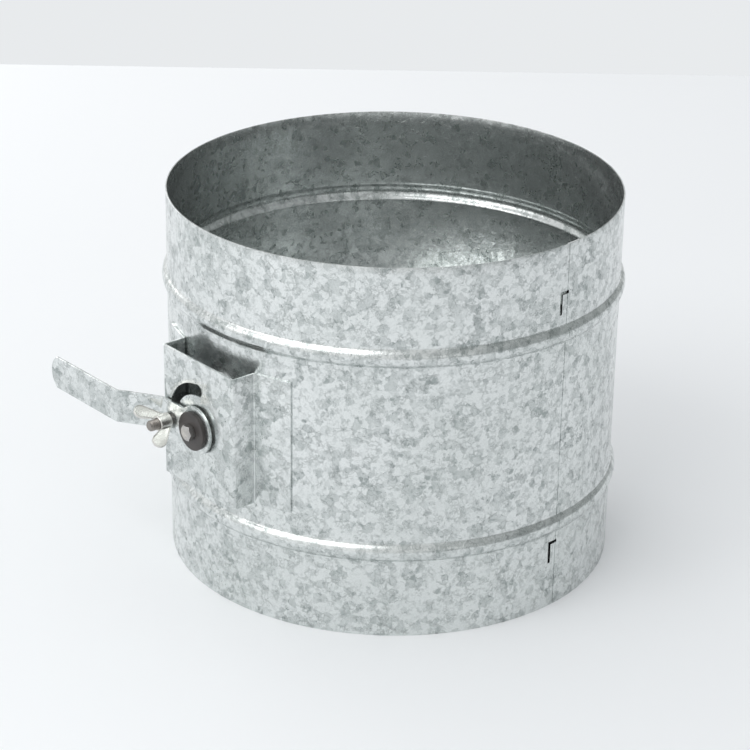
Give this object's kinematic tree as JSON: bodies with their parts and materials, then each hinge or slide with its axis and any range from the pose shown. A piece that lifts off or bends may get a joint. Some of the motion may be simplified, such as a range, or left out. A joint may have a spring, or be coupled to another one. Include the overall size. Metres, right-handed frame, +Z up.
{
  "type": "round volume control damper",
  "caption": "Round beaded sheet duct section with a turning blade inside, set by a cranked handle on a side bracket and locked by a wing nut.",
  "frame": {"origin": "centre of the duct's lower end, on its axis", "axes": "+Z up along the duct's axis, -Y out through the handle's bracket, the handle points to -X with the blade closed"},
  "size_m": [0.2552, 0.2871, 0.211],
  "materials": {
    "galvanised_sheet": "satin",
    "bright_steel": "bright",
    "nickel_plate": "bright",
    "dark_disc": "satin",
    "nylon": "satin",
    "black_spring_steel": "satin"
  },
  "bodies": {
    "duct": {"casing": "galvanised_sheet", "bracket": "galvanised_sheet", "bracket_bush": "nylon", "drive_bush": "nylon", "idle_bush": "nylon", "thrust_washer": "bright_steel"},
    "blade_set": {"spindle": "bright_steel", "blade": "galvanised_sheet", "clip_drive_end": "galvanised_sheet", "clip_middle": "galvanised_sheet", "clip_idle_end": "galvanised_sheet", "clip_rivets": "bright_steel", "handle": "galvanised_sheet", "hub_disc": "dark_disc", "hub_screw": "bright_steel", "lock_bolt": "bright_steel", "friction_washer": "bright_steel", "retaining_ring": "black_spring_steel"},
    "nut": {"wing_nut": "nickel_plate"}
  },
  "joints": [
    {"name": "blade_turn", "type": "hinge", "parent": "duct", "child": "blade_set", "pos_m": [0, 0, 0.1035], "axis": [0, 1, 0], "range_deg": [0, 90]},
    {"name": "nut_turn", "type": "hinge", "parent": "blade_set", "child": "nut", "pos_m": [-0.02212, -0.14, 0.10157], "axis": [0, -1, 0], "range_deg": [0, 360]}
  ]
}
